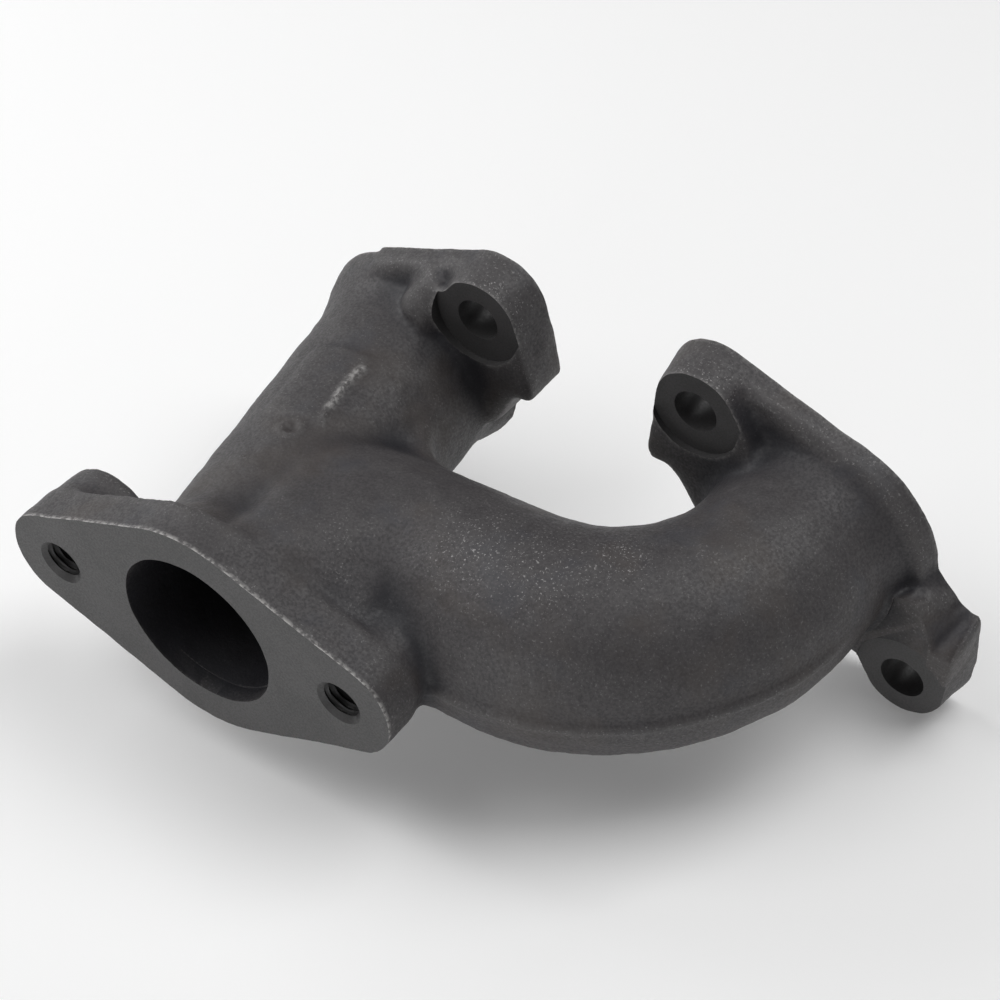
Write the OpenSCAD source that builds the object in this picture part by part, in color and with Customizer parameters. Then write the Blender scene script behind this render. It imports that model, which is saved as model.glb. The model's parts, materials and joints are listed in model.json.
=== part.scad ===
// Two-port exhaust manifold, one iron casting divided into its named regions.
// Origin: centre of the front port on the head face. +X runs along the row of ports,
// +Y points into the cylinder head, +Z is up. The casting is split by the plane Z = 0.

/* [Ports] */
// Distance between the two port centres
port_pitch = 106; // [100:1:130]
// Diameter of the round port in each head flange
port_d = 36; // [30:0.5:38]

/* [Head flanges] */
// Outer diameter of the round pad about each port
pad_d = 55; // [52:0.5:58]
// Thickness of the round pad
pad_t = 7; // [6:0.5:9]
// Sideways distance from a port centre to a bolt hole
bolt_x = 25; // [24:0.5:28]
// Vertical distance from a port centre to a bolt hole
bolt_z = 26.8; // [26:0.2:30]
// Diameter of the bolt clearance holes
bolt_hole_d = 10.4; // [8.4:0.2:11]
// Diameter of the rounded end of each ear
ear_d = 24; // [23:0.5:26]
// Thickness of the cast ear
ear_t = 11; // [10:0.5:12]
// Diameter of the spot face round each bolt hole
spot_d = 22; // [18:0.5:22.5]
// Depth of the spot face
spot_depth = 1; // [0.5:0.5:2]
// How far the ear's sharp corner stands from the port centre, sideways
corner_x = 38; // [37:0.5:40]
// Height of that corner above the port centre
corner_z = 11.5; // [10:0.5:13]
// The same for the front lower ear, whose corner is cut back
short_corner_x = 34; // [32:0.5:38]

/* [Runners] */
// Outer diameter of the straight front runner
runner_d = 43; // [42:0.5:46]
// Bore of the front runner
runner_bore_d = 34; // [30:0.5:34]
// Outer diameter of the branch, the bend and the neck
branch_d = 46; // [44:0.5:47]
// Bore of the branch, the bend and the neck
branch_bore_d = 36; // [32:0.5:36]
// Radius of the bend, to the centre line
bend_r = 41.5; // [40:0.5:44]
// Straight length from the head face to the start of the bend
neck_l = 17.5; // [15:0.5:20]

/* [Pipe flange] */
// Sideways distance from the front port to the outlet centre
outlet_x = 11.5; // [8:0.5:14]
// Distance from the head face to the outlet face
outlet_y = 96; // [94:1:104]
// Diameter of the outlet bore
outlet_d = 38; // [36:0.5:42]
// Outer diameter of the middle of the flange
outlet_pad_d = 55; // [54:0.5:58]
// Distance between the two stud holes
stud_pitch = 76; // [74:0.5:80]
// Tapping diameter of the stud holes
stud_hole_d = 8.5; // [6.8:0.1:8.8]
// Depth of the tapped holes, less the drill's point
stud_hole_depth = 13; // [10:0.5:13.5]
// Diameter of the countersink at the mouth of each stud hole
countersink_d = 11; // [9:0.5:12]
// Diameter of the rounded end of each lug
lug_d = 26; // [24:0.5:28]
// Thickness of the middle of the flange
flange_t = 10; // [8:0.5:11]
// Diameter of the round boss behind each stud hole
boss_d = 25; // [22:0.5:26]
// Thickness of the flange and boss together
lug_t = 19; // [18:0.5:20]

/* [Casting marks] */
// Length of the low pad on the front runner
mark_l = 22; // [15:1:26]
// Width of the low pad
mark_w = 14; // [10:1:16]
// Height of the low pad above the tube
mark_h = 0.8; // [0.4:0.1:1.5]
// Height of the parting rib above the bend
rib_h = 1; // [0.5:0.1:2]
// Width of the parting rib
rib_w = 3; // [2:0.5:4]

/* [Hidden] */
$fn = 96;

iron = "#4a4646";
machined = "#5c5858";

// The front runner leans sideways so that it ends at the outlet centre.
lean = atan(outlet_x / outlet_y);
// The branch enters the front runner at this distance from the head face.
branch_y = neck_l + bend_r;
// The bend ends here, and the straight branch begins.
bend_x = port_pitch - bend_r;
// The front runner gives way to the junction here.
junction_y = 34;
// The junction gives way to the branch here.
junction_x = 33;
// The lugs give way to the middle of the pipe flange at this distance from its centre.
lug_split = 24;
// The outer straight edge of an ear slopes down toward the pad at this angle.
ear_slope = 20.6;
// The web in the crotch is this thick and reaches this far along each tube.
web_t = 18;
web_l = 12;
// Extra length that lets a cutter pass clean through.
clear = 1;

// A rod that starts at y = -start and runs away from the head.
module rod(d, start, length, x = 0, z = 0) {
    translate([x, -start, z]) rotate([90, 0, 0]) cylinder(h = length, d = d);
}

// A plate with a flat outline in X and Z, from y = -start to y = -(start + thick).
module plate(start, thick) {
    translate([0, -start, 0]) rotate([90, 0, 0]) linear_extrude(thick) children();
}

// A solid that keeps only what lies between two distances from the head face.
module between(near, far) {
    intersection() {
        children();
        translate([-100, -far, -100]) cube([200, far - near, 200]);
    }
}

// The straight tube that leans from the front port to the outlet.
module leaning_rod(d) {
    rotate([0, 0, lean]) rod(d, -10, outlet_y + 20);
}

// The straight rod from the front runner to the start of the bend.
module branch_rod(d, from_x, to_x) {
    translate([from_x, -branch_y, 0]) rotate([0, 90, 0]) cylinder(h = to_x - from_x, d = d);
}

// Points along an arc about a centre, from one angle to another.
function arc(centre, r, from, to, steps) = [
    for (i = [0:steps]) centre + r * [cos(from + (to - from) * i / steps), sin(from + (to - from) * i / steps)]
];

// Outline of one ear, up and to the right of a port at the origin: a straight edge
// off the round pad, a round end about the bolt, and a side down to a sharp corner.
module ear_outline(side_x) {
    leave = 90 + ear_slope;
    polygon(concat(
        [[0, 0], pad_d / 2 * [cos(leave), sin(leave)]],
        arc([bolt_x, bolt_z], ear_d / 2, leave, 0, 20),
        [[side_x, corner_z], [side_x - 3.5, corner_z - 2], [side_x - 7, corner_z - 7], [pad_d / 2 - 0.5, -2]]
    ));
}

// One ear, spot faced and drilled, trimmed to meet the round pad.
module ear(side_x = corner_x) {
    difference() {
        plate(0, ear_t) ear_outline(side_x);
        rod(pad_d, -clear, ear_t + 2 * clear);
        rod(bolt_hole_d, -clear, ear_t + 2 * clear, bolt_x, bolt_z);
        rod(spot_d, ear_t - spot_depth, spot_depth + clear, bolt_x, bolt_z);
    }
}

// The round pad about a port.
module port_pad() {
    difference() {
        rod(pad_d, 0, pad_t);
        rod(port_d, -clear, pad_t + 2 * clear);
    }
}

// Outline of the pipe flange, centred on the outlet bore: a round middle with
// straight edges that run off it, tangent, to two round ends.
module flange_outline() {
    half = stud_pitch / 2;
    spread = acos((outlet_pad_d - lug_d) / stud_pitch);
    polygon(concat(
        arc([half, 0], lug_d / 2, -spread, spread, 16),
        arc([0, 0], outlet_pad_d / 2, spread, 180 - spread, 12),
        arc([-half, 0], lug_d / 2, 180 - spread, 180 + spread, 16),
        arc([0, 0], outlet_pad_d / 2, 180 + spread, 360 - spread, 12)
    ));
}

// One end of the pipe flange, on the side with positive X, about the outlet centre,
// with a round boss behind its tapped stud hole.
module lug() {
    half = stud_pitch / 2;
    point_h = stud_hole_d / 2 * tan(31);
    difference() {
        union() {
            intersection() {
                plate(outlet_y - flange_t, flange_t) flange_outline();
                translate([lug_split, -outlet_y - clear, -lug_d]) cube([half, flange_t + 2 * clear, 2 * lug_d]);
            }
            rod(boss_d, outlet_y - lug_t, lug_t - flange_t / 2, half);
        }
        rod(stud_hole_d, outlet_y - stud_hole_depth, stud_hole_depth + clear, half);
        translate([half, stud_hole_depth - outlet_y, 0]) rotate([-90, 0, 0])
            cylinder(h = point_h, d1 = stud_hole_d, d2 = 0);
        translate([half, -outlet_y, 0]) rotate([-90, 0, 0])
            cylinder(h = (countersink_d - stud_hole_d) / 2, d1 = countersink_d, d2 = stud_hole_d);
    }
}

module front_port_pad() {
    color(machined) port_pad();
}

module front_upper_ear() {
    color(iron) ear();
}

module front_lower_ear() {
    color(iron) rotate([0, 180, 0]) ear(short_corner_x);
}

module front_runner() {
    color(iron) between(pad_t, junction_y) difference() {
        leaning_rod(runner_d);
        leaning_rod(runner_bore_d);
    }
}

module collector() {
    stub_x = outlet_x * branch_y / outlet_y;
    flange_y = outlet_y - flange_t;
    color(iron) between(junction_y, flange_y) difference() {
        union() {
            leaning_rod(runner_d);
            translate([stub_x, -branch_y, 0]) rotate([0, 90, 0])
                cylinder(h = junction_x - stub_x, d1 = runner_d - 2, d2 = branch_d);
        }
        leaning_rod(runner_bore_d);
        branch_rod(branch_bore_d, stub_x, junction_x + clear);
    }
}

module crotch_web() {
    corner = [outlet_x * (branch_y - branch_d / 2) / outlet_y + runner_d / 2, branch_d / 2 - branch_y];
    root = 6;
    color(iron) difference() {
        translate([corner[0], corner[1], -web_t / 2]) linear_extrude(web_t) polygon([
            [-root, -root], [web_l, -root], [web_l, 0], [0, web_l], [-root, web_l]
        ]);
        leaning_rod(runner_d);
        branch_rod(branch_d, 0, bend_x);
    }
}

module outlet_flange() {
    color(machined) translate([outlet_x, 0, 0]) difference() {
        intersection() {
            plate(outlet_y - flange_t, flange_t) flange_outline();
            translate([-lug_split, -outlet_y - clear, -outlet_pad_d])
                cube([2 * lug_split, flange_t + 2 * clear, 2 * outlet_pad_d]);
        }
        rod(outlet_d, outlet_y - flange_t - clear, flange_t + 2 * clear);
    }
}

module outlet_left_lug() {
    color(iron) translate([outlet_x, 0, 0]) mirror([1, 0, 0]) lug();
}

module outlet_right_lug() {
    color(iron) difference() {
        translate([outlet_x, 0, 0]) lug();
        branch_rod(branch_d, 0, bend_x);
    }
}

module branch_runner() {
    color(iron) difference() {
        branch_rod(branch_d, junction_x, bend_x);
        branch_rod(branch_bore_d, junction_x - clear, bend_x + clear);
    }
}

module rear_elbow() {
    color(iron) translate([bend_x, -neck_l, 0]) rotate([0, 0, -90]) rotate_extrude(angle = 90)
        difference() {
            translate([bend_r, 0]) circle(d = branch_d);
            translate([bend_r, 0]) circle(d = branch_bore_d);
        }
}

module rear_neck() {
    color(iron) difference() {
        rod(branch_d, pad_t, neck_l - pad_t, port_pitch);
        rod(branch_bore_d, pad_t - clear, neck_l, port_pitch);
    }
}

module rear_port_pad() {
    color(machined) translate([port_pitch, 0, 0]) port_pad();
}

module rear_upper_ear() {
    color(iron) translate([port_pitch, 0, 0]) mirror([1, 0, 0]) ear();
}

module rear_lower_ear() {
    color(iron) translate([port_pitch, 0, 0]) mirror([0, 0, 1]) ear();
}

module elbow_parting_rib() {
    outer_r = bend_r + branch_d / 2;
    color(iron) translate([bend_x, -neck_l, 0]) rotate([0, 0, -90]) rotate_extrude(angle = 90)
        difference() {
            translate([outer_r - 2, -rib_w / 2]) square([rib_h + 2, rib_w]);
            translate([bend_r, 0]) circle(d = branch_d);
        }
}

module runner_pad() {
    middle = 39;
    offset_x = -2;
    color(iron) difference() {
        rotate([0, 0, lean]) translate([offset_x - mark_w / 2, -middle - mark_l / 2, 0])
            cube([mark_w, mark_l, runner_d / 2 + mark_h]);
        leaning_rod(runner_d);
        translate([-50, -100, -50]) cube([100, 100, 60]);
    }
}

front_port_pad();
front_upper_ear();
front_lower_ear();
front_runner();
collector();
crotch_web();
outlet_flange();
outlet_left_lug();
outlet_right_lug();
branch_runner();
rear_elbow();
rear_neck();
rear_port_pad();
rear_upper_ear();
rear_lower_ear();
elbow_parting_rib();
runner_pad();
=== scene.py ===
# %% [markdown]
# # A two-port exhaust manifold in bare cast iron
#
# The real thing is one sand casting. A pattern maker builds its shape in wood from turned rods and
# sawn plates, and rounds the inside corners with wax. The foundry pours iron round a sand core. Then a
# machinist mills three faces, spot faces four ears, drills, and taps two stud holes. This lesson keeps
# that order, because each step leaves marks that the next one cuts through.

# %% Load the frame
import json
import math
import bpy
import numpy as np
from mathutils import Matrix, Vector, noise
from mathutils.kdtree import KDTree


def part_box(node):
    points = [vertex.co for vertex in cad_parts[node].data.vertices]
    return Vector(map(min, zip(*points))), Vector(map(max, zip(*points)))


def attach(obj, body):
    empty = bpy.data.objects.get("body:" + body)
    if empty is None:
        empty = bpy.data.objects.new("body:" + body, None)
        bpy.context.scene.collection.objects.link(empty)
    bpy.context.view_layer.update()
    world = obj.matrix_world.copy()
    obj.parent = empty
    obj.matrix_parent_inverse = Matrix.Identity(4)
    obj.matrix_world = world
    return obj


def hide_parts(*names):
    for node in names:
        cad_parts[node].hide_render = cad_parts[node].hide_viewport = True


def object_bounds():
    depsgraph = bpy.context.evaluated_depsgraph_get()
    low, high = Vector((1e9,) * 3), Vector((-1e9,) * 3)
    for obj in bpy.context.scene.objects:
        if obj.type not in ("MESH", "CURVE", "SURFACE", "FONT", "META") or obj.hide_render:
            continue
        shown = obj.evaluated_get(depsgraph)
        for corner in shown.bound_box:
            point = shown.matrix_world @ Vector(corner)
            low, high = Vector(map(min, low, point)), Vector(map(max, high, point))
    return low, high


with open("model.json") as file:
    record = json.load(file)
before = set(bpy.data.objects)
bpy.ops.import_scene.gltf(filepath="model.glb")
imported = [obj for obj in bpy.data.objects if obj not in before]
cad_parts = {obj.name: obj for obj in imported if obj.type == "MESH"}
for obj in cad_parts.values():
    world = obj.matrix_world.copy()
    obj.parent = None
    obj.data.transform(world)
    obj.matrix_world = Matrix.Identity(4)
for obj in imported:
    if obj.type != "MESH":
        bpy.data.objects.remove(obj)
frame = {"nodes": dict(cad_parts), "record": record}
cad_low, cad_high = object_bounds()
bpy.ops.object.select_all(action="DESELECT")

# %% [markdown]
# ## Places and sizes
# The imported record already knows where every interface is: the ports, the outlet, the stud holes.
# Reading them from there keeps the casting tied to the design. The design's own boxes give the rest.
# Only what neither says, such as the width of a fillet, is a number of this script's own.

# %% Read the interfaces
MM = 0.001
mounts = {m["name"]: m for m in frame["record"]["mounts"]}


def place(name):
    return Vector(mounts[name]["pos_m"])


def dimension(name, key):
    return mounts[name]["dims"][key] * MM


front_port = place("front_port")
rear_port = place("rear_port")
outlet = place("outlet")
stud_half = (place("outlet_right_stud").x - place("outlet_left_stud").x) / 2
port_r = dimension("front_port", "r_mm")
outlet_r = dimension("outlet", "r_mm")
stud_r = dimension("outlet_left_stud", "r_mm")
hole_r = dimension("front_head_bolts", "hole_r_mm")
print("outlet", [round(v / MM, 1) for v in outlet], "studs", round(2 * stud_half / MM), "mm apart")

# %% Read the design's boxes
ear_low, ear_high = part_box("front_upper_ear")
branch_low, branch_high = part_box("branch_runner")
lug_low, lug_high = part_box("outlet_left_lug")
neck_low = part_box("rear_neck")[0]
flange_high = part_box("outlet_flange")[1]

pad_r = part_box("front_port_pad")[1].x
ear_y = ear_low.y                       # near face of the ears
ear_r = 12 * MM                         # round end of an ear
bolt = Vector((25 * MM, 0, ear_high.z - ear_r))
corner_z = 11.5 * MM                    # height of an ear's sharp corner
branch_y = (branch_low.y + branch_high.y) / 2
branch_r = branch_high.z
bend_x = branch_high.x
neck_y = neck_low.y
bend_r = rear_port.x - bend_x
flange_y = flange_high.y                # back of the pipe flange
flange_r = flange_high.z
lug_r = outlet.x - stud_half - lug_low.x
boss_y = lug_high.y                     # back of the stud bosses
print("bend radius", round(bend_r / MM, 1), "mm, flange", round((flange_y - outlet.y) / MM, 1), "mm thick")

# %% [markdown]
# ## Small helpers
# Everything here is modelled with the ordinary operators. They act on whatever is selected, so each
# helper starts by letting go of everything, and ends with the object's place baked into its mesh.

# %% Helpers for objects
SIDES = 96                              # sides of a rod or a tube, unless a call says otherwise


def let_go(*keep):
    bpy.ops.object.select_all(action="DESELECT")
    for obj in keep:
        obj.select_set(True)
        bpy.context.view_layer.objects.active = obj


def settle(obj):
    let_go(obj)
    bpy.ops.object.transform_apply(location=True, rotation=True, scale=True)
    return obj


def rod(start, end, r_start, r_end=None, sides=SIDES):
    """A turned rod between two points, straight or tapered."""
    axis = end - start
    let_go()
    bpy.ops.mesh.primitive_cone_add(
        vertices=sides, radius1=r_start, radius2=r_start if r_end is None else r_end,
        depth=axis.length, location=(start + end) / 2,
        rotation=axis.to_track_quat("Z", "Y").to_euler())
    return settle(bpy.context.object)


def block(low, high):
    """A sawn block between two corners."""
    let_go()
    bpy.ops.mesh.primitive_cube_add(size=1, location=(low + high) / 2, scale=high - low)
    return settle(bpy.context.object)


def join(objects, name):
    let_go(*objects)
    bpy.ops.object.join()
    bpy.context.object.name = name
    return bpy.context.object


def apply(obj, kind, **settings):
    """Adds one modifier, sets it and applies it."""
    let_go(obj)
    modifier = obj.modifiers.new(kind.title(), kind)
    for key, value in settings.items():
        setattr(modifier, key, value)
    bpy.ops.object.modifier_apply(modifier=modifier.name)


def face_outwards(obj):
    """Turns every face of a closed shape outwards."""
    let_go(obj)
    bpy.ops.object.mode_set(mode="EDIT")
    bpy.ops.mesh.select_all(action="SELECT")
    bpy.ops.mesh.normals_make_consistent(inside=False)
    bpy.ops.object.mode_set(mode="OBJECT")


def points(obj):
    """Every vertex of a mesh as an array."""
    co = np.empty(len(obj.data.vertices) * 3)
    obj.data.vertices.foreach_get("co", co)
    return co.reshape(-1, 3)


# %% Helpers for sawn plates
TINY = 0.01 * MM                        # closer than this is the same place


def arc(x, z, r, start, end, steps):
    """Points along an arc, angles in degrees."""
    turns = np.radians(np.linspace(start, end, steps + 1))
    return [(x + r * math.cos(a), z + r * math.sin(a)) for a in turns]


def plate(back, y_back, y_front, front=None):
    """Saws a plate from an outline in X and Z. A second outline gives its front face some draft."""
    let_go()
    bpy.ops.mesh.primitive_circle_add(vertices=len(back), fill_type="NGON")
    obj = bpy.context.object
    for vertex, (x, z) in zip(obj.data.vertices, back):
        vertex.co = (x, y_back, z)
    bpy.ops.object.mode_set(mode="EDIT")
    bpy.ops.mesh.select_all(action="SELECT")
    bpy.ops.mesh.extrude_region_move(TRANSFORM_OT_translate={"value": (0, y_front - y_back, 0)})
    bpy.ops.object.mode_set(mode="OBJECT")
    face_outwards(obj)
    for vertex in obj.data.vertices:
        if front and abs(vertex.co.y - y_front) < TINY:
            nearest = min(
                range(len(back)),
                key=lambda i: abs(back[i][0] - vertex.co.x) + abs(back[i][1] - vertex.co.z))
            vertex.co.x, vertex.co.z = front[nearest]
    return obj


# %% [markdown]
# ## The pattern: tubes
# The front runner is a turned rod that leans from the front port to the outlet. The branch is one
# round bar: straight, bent through 90 degrees with the spin operator, then straight again to the head.
# A curve with a bevel would sweep it too, but spin keeps exact control of where the bend begins.

# %% Turn and bend the tubes
STOCK = 3 * MM                          # metal left on for the mill
RUNNER_R = 22.9 * MM                    # radius of the runner at the head
RUNNER_END_R = 19.9 * MM                # and at the outlet
BRANCH_START = 7 * MM                   # where the branch begins, inside the runner
STRAIGHT_STEPS = 8
BEND_STEPS = 24
SWELL = {                               # radius of the branch along centre_line, in millimetres
    0.10: 19.0, 0.30: 21.4, 0.50: 22.8, 0.70: 22.9, 0.85: 23.0, 1.00: 23.3, 1.20: 23.5, 1.50: 22.8,
    1.75: 22.1, 2.00: 21.6, 3.00: 21.6}
DRIFT = {                               # how far it strays outward there, in millimetres
    0.00: 0.0, 0.70: -0.5, 1.00: -0.6, 1.25: -0.1, 1.50: 0.1, 1.75: 0.2, 2.00: 0.3, 2.40: 0.0}


def centre_line(point):
    """The nearest point on the branch's centre line, and how far along it lies: 0 to 1 is the
    straight branch, 1 to 2 the bend, and 2 to 3 the neck."""
    if point.x < bend_x:
        return Vector((point.x, branch_y, 0)), max(0.0, point.x / bend_x)
    if point.y > neck_y:
        return Vector((rear_port.x, point.y, 0)), 2 + (point.y - neck_y) / -neck_y
    turn = math.atan2(point.x - bend_x, neck_y - point.y)
    middle = Vector((bend_x + bend_r * math.sin(turn), neck_y - bend_r * math.cos(turn), 0))
    return middle, 1 + turn / (math.pi / 2)


def bent_bar(radius, start_x, end_y, swell=None):
    """Sweeps a circle along the branch, the bend and the neck. A swell gives it a changing radius."""
    let_go()
    bpy.ops.mesh.primitive_circle_add(
        vertices=SIDES, radius=radius, location=(start_x, branch_y, 0),
        rotation=(0, math.pi / 2, 0), fill_type="NGON")
    obj = settle(bpy.context.object)
    bpy.ops.object.mode_set(mode="EDIT")
    bpy.ops.mesh.select_all(action="SELECT")
    for _ in range(STRAIGHT_STEPS):
        bpy.ops.mesh.extrude_region_move(
            TRANSFORM_OT_translate={"value": ((bend_x - start_x) / STRAIGHT_STEPS, 0, 0)})
    bpy.ops.mesh.spin(
        steps=BEND_STEPS, angle=-math.pi / 2, center=(bend_x, neck_y, 0), axis=(0, 0, 1))
    for _ in range(STRAIGHT_STEPS):
        bpy.ops.mesh.extrude_region_move(
            TRANSFORM_OT_translate={"value": (0, (end_y - neck_y) / STRAIGHT_STEPS, 0)})
    bpy.ops.mesh.select_all(action="SELECT")
    bpy.ops.mesh.remove_doubles(threshold=TINY)
    bpy.ops.object.mode_set(mode="OBJECT")
    face_outwards(obj)
    for vertex in obj.data.vertices:
        middle, along = centre_line(vertex.co)
        if swell:
            wanted = np.interp(along, list(swell), list(swell.values())) * MM
            drift = np.interp(along, list(DRIFT), list(DRIFT.values())) * MM
            turn = min(max(along - 1, 0), 1) * math.pi / 2
            outward = Vector((math.sin(turn), -math.cos(turn), 0))
            vertex.co = middle + outward * drift + (vertex.co - middle) * (wanted / radius)
    return obj


runner_end = outlet * ((outlet.y - STOCK) / outlet.y)
runner = rod(Vector((0, STOCK, 0)), runner_end, RUNNER_R, RUNNER_END_R)
branch = bent_bar(branch_r, BRANCH_START, STOCK, SWELL)
print("runner", len(runner.data.vertices), "points, branch", len(branch.data.vertices), "points")
print("branch box", points(branch).min(0) / MM, points(branch).max(0) / MM)

# %% [markdown]
# ## The pattern: head flanges
# Each port sits in a thin round pad with two ears, one up and one down, on opposite sides. A straight
# edge runs off the pad to the ear's round end. The outline is sawn from thin board, then a thicker
# boss goes on round each bolt, and the corner below it is knocked about where the gate was broken off.

# %% Saw the head flanges
EAR_SLOPE = 20.6                        # degrees, from the pad's top down to the bolt's side
BOSS_START = 140                        # degrees, where the boss's round side begins
PAD_DRAFT = 2.3 * MM                    # how much smaller the front of a pad is than its back
EAR_DRAFT = 2.2 * MM
BOARD_FRONT = -5.6 * MM                 # front of the thin board
BOARD_DRAFT = 0.7                       # its share of an ear's draft
BOARD_EDGE = 0.6                        # and of the way from the back's broken edge to the front's
BOSS_STOCK = 0.4 * MM                   # metal left on the boss
STUBS = {                               # the broken edge below each corner, in millimetres
    "even": [(-0.6, -2.6), (-2.4, -3.2), (-4.6, -3.2), (-6.6, -5.6), (-8.6, -9.4), (-12, -15.5)],
    "ragged": [(-0.4, -2.6), (-1.9, -3.0), (-4.4, -2.8), (-6.4, -4.6), (-8.0, -8.0), (-11, -15)],
    "hollow": [(-1.5, 3.2), (-5.8, 3.0), (-7.0, -0.8), (-9.6, -9.6), (-13.1, -9.6), (-16.7, -8.3)]}


def ear_outlines(side_x, edge, draft=0.0):
    """The thin board and the thick boss of one ear, up and to the right of a port at the origin.
    Draft draws in the round parts and leaves the corner where it is."""
    leave = 90 + EAR_SLOPE
    off = math.radians(leave)
    pad = pad_r - draft * PAD_DRAFT / EAR_DRAFT
    broken = [(side_x, corner_z)] + [(side_x + x * MM, corner_z + z * MM) for x, z in edge]
    board = [(0, 0), (pad * math.cos(off), pad * math.sin(off))]
    board += arc(bolt.x, bolt.z, ear_r - draft, leave, 0, 20) + broken
    boss = [(0, 0)] + arc(bolt.x, bolt.z, ear_r - draft, BOSS_START, 0, 20) + broken
    return board, boss


def head_ear(port, side_x, flip_x, flip_z, back_stub, front_stub):
    """The board and the boss of one ear, mirrored into place."""
    def turned(outline):
        return [(port.x + flip_x * x, flip_z * z) for x, z in outline]

    back, front = np.array(STUBS[back_stub]), np.array(STUBS[front_stub])
    board, boss = ear_outlines(side_x, back)
    thin, _ = ear_outlines(side_x, back + (front - back) * BOARD_EDGE, EAR_DRAFT * BOARD_DRAFT)
    _, thick = ear_outlines(side_x, front, EAR_DRAFT)
    return [
        plate(turned(board), STOCK, BOARD_FRONT, turned(thin)),
        plate(turned(boss), STOCK, ear_y - BOSS_STOCK, turned(thick))]


corner_x = ear_high.x
EARS = (                                # port, corner, flips in X and Z, broken edge at back and front
    (front_port, corner_x + 0.6 * MM, 1, 1, "even", "even"),
    (front_port, corner_x - 5.6 * MM, -1, -1, "even", "even"),
    (rear_port, corner_x - 0.8 * MM, -1, 1, "ragged", "ragged"),
    (rear_port, corner_x, 1, -1, "even", "hollow"))
head_parts = []
for ear in EARS:
    head_parts += head_ear(*ear)
print("sawn boards and bosses", len(head_parts))

# %% Turn the pads and their roots
# How much each pad's radius differs from the design
PAD_EXTRA = ((front_port, -0.9 * MM), (rear_port, 0.7 * MM))
RIM = Vector((0, -5.5 * MM, 0))         # front edge of a pad, from its port
ROOT_BACK = Vector((0, 1.5 * MM, 0))    # the ends of the root's cone, from the rim
ROOT_FRONT = Vector((0, -6 * MM, 0))
ROOT_BACK_R = 24.2 * MM
ROOT_FRONT_R = 21.8 * MM

# A short tapered gusset ties the front upper ear to the runner
gusset_low, gusset_high = Vector((8, -10, 20)) * MM, Vector((14, -3.8, 27)) * MM
head_parts.append(rod(gusset_low, gusset_high, 6 * MM, 7.5 * MM))
for port, extra in PAD_EXTRA:
    back = port + Vector((0, STOCK, 0))
    rim = port + RIM
    head_parts.append(rod(back, rim, pad_r + extra, pad_r - PAD_DRAFT + extra))
    head_parts.append(rod(rim + ROOT_BACK, rim + ROOT_FRONT, ROOT_BACK_R, ROOT_FRONT_R))
print("head flange parts", len(head_parts))

# %% [markdown]
# ## The pattern: pipe flange
# The outlet ends in a flange like a stretched diamond: a round middle, straight edges, two round ends.
# Behind each end a short round boss gives the stud's thread more iron to hold.

# %% Saw the pipe flange
SHRINK = 0.1 * MM                       # how much smaller than the design, so that lumps stay inside it
STUD_BOSS_IN = 3 * MM                   # how far a stud boss runs into the flange
STUD_BOSS_R = (11.8 * MM, 12.5 * MM)    # its radius at the back and at the flange
THROAT_L = 9 * MM
THROAT_R = (20.6 * MM, 24.6 * MM)       # the cone behind the flange, from the tube to the flange


def flange_outline():
    spread = math.degrees(math.acos((flange_r - lug_r) / stud_half))
    outline = []
    for x, r, start, end, steps in (
            (stud_half, lug_r, -spread, spread, 24),
            (0, flange_r, spread, 180 - spread, 16),
            (-stud_half, lug_r, 180 - spread, 180 + spread, 24),
            (0, flange_r, 180 + spread, 360 - spread, 16)):
        outline += arc(outlet.x + x, 0, r - SHRINK, start, end, steps)
    return outline


pipe_parts = [plate(flange_outline(), flange_y, outlet.y - STOCK)]
for side in (-1, 1):
    middle = Vector((outlet.x + side * stud_half, 0, 0))
    back = middle + Vector((0, boss_y, 0))
    front = middle + Vector((0, flange_y - STUD_BOSS_IN, 0))
    pipe_parts.append(rod(back, front, *STUD_BOSS_R))
throat = outlet * ((flange_y + THROAT_L) / outlet.y)
pipe_parts.append(rod(throat, outlet * (flange_y / outlet.y), *THROAT_R))
print("pipe flange parts", len(pipe_parts))

# %% [markdown]
# ## The pattern: the saddle behind the pipe flange
# Between the right stud and the branch the real casting is solid, a smooth saddle that runs off the
# flange's edge on to the tube. Its surface is what a sheet would take if stretched over both, and that
# is exactly what the convex hull operator makes.

# %% Stretch the saddle
SADDLE_RINGS = {14: 20.6, 30: 22.4, 45: 22.8}   # its radius at three places in X, in millimetres
SADDLE_EDGE = (16 * MM, 49 * MM)        # the stretch of the flange's edge that it hangs on, in X
SADDLE_INSET = 1.6 * MM


def saddle():
    ends = []
    for x, radius in SADDLE_RINGS.items():
        let_go()
        bpy.ops.mesh.primitive_circle_add(
            vertices=SIDES, radius=radius * MM, location=(x * MM, branch_y, 0),
            rotation=(0, math.pi / 2, 0))
        ends.append(settle(bpy.context.object))
    first, last = SADDLE_EDGE
    narrower = 1 - SADDLE_INSET / flange_r
    edge = [(min(x, last), z * narrower) for x, z in flange_outline() if x > first]
    ends.append(plate(edge, flange_y - 2 * MM, flange_y - 3 * MM))
    hull = join(ends, "saddle")
    bpy.ops.object.mode_set(mode="EDIT")
    bpy.ops.mesh.select_all(action="SELECT")
    bpy.ops.mesh.convex_hull()
    bpy.ops.object.mode_set(mode="OBJECT")
    face_outwards(hull)
    return hull


pipe_parts.append(saddle())
print("saddle", len(pipe_parts[-1].data.vertices), "points")

# %% [markdown]
# ## The pattern: the web in the crotch
# A thick web fills the crotch where the tubes meet, because a sharp inside corner would crack as the
# iron cools. Its free edge is a quarter circle. It is sawn like the other plates, in X and Z, and then
# laid flat by swapping two coordinates, which also turns its faces, so they are made to point out again.

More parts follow.
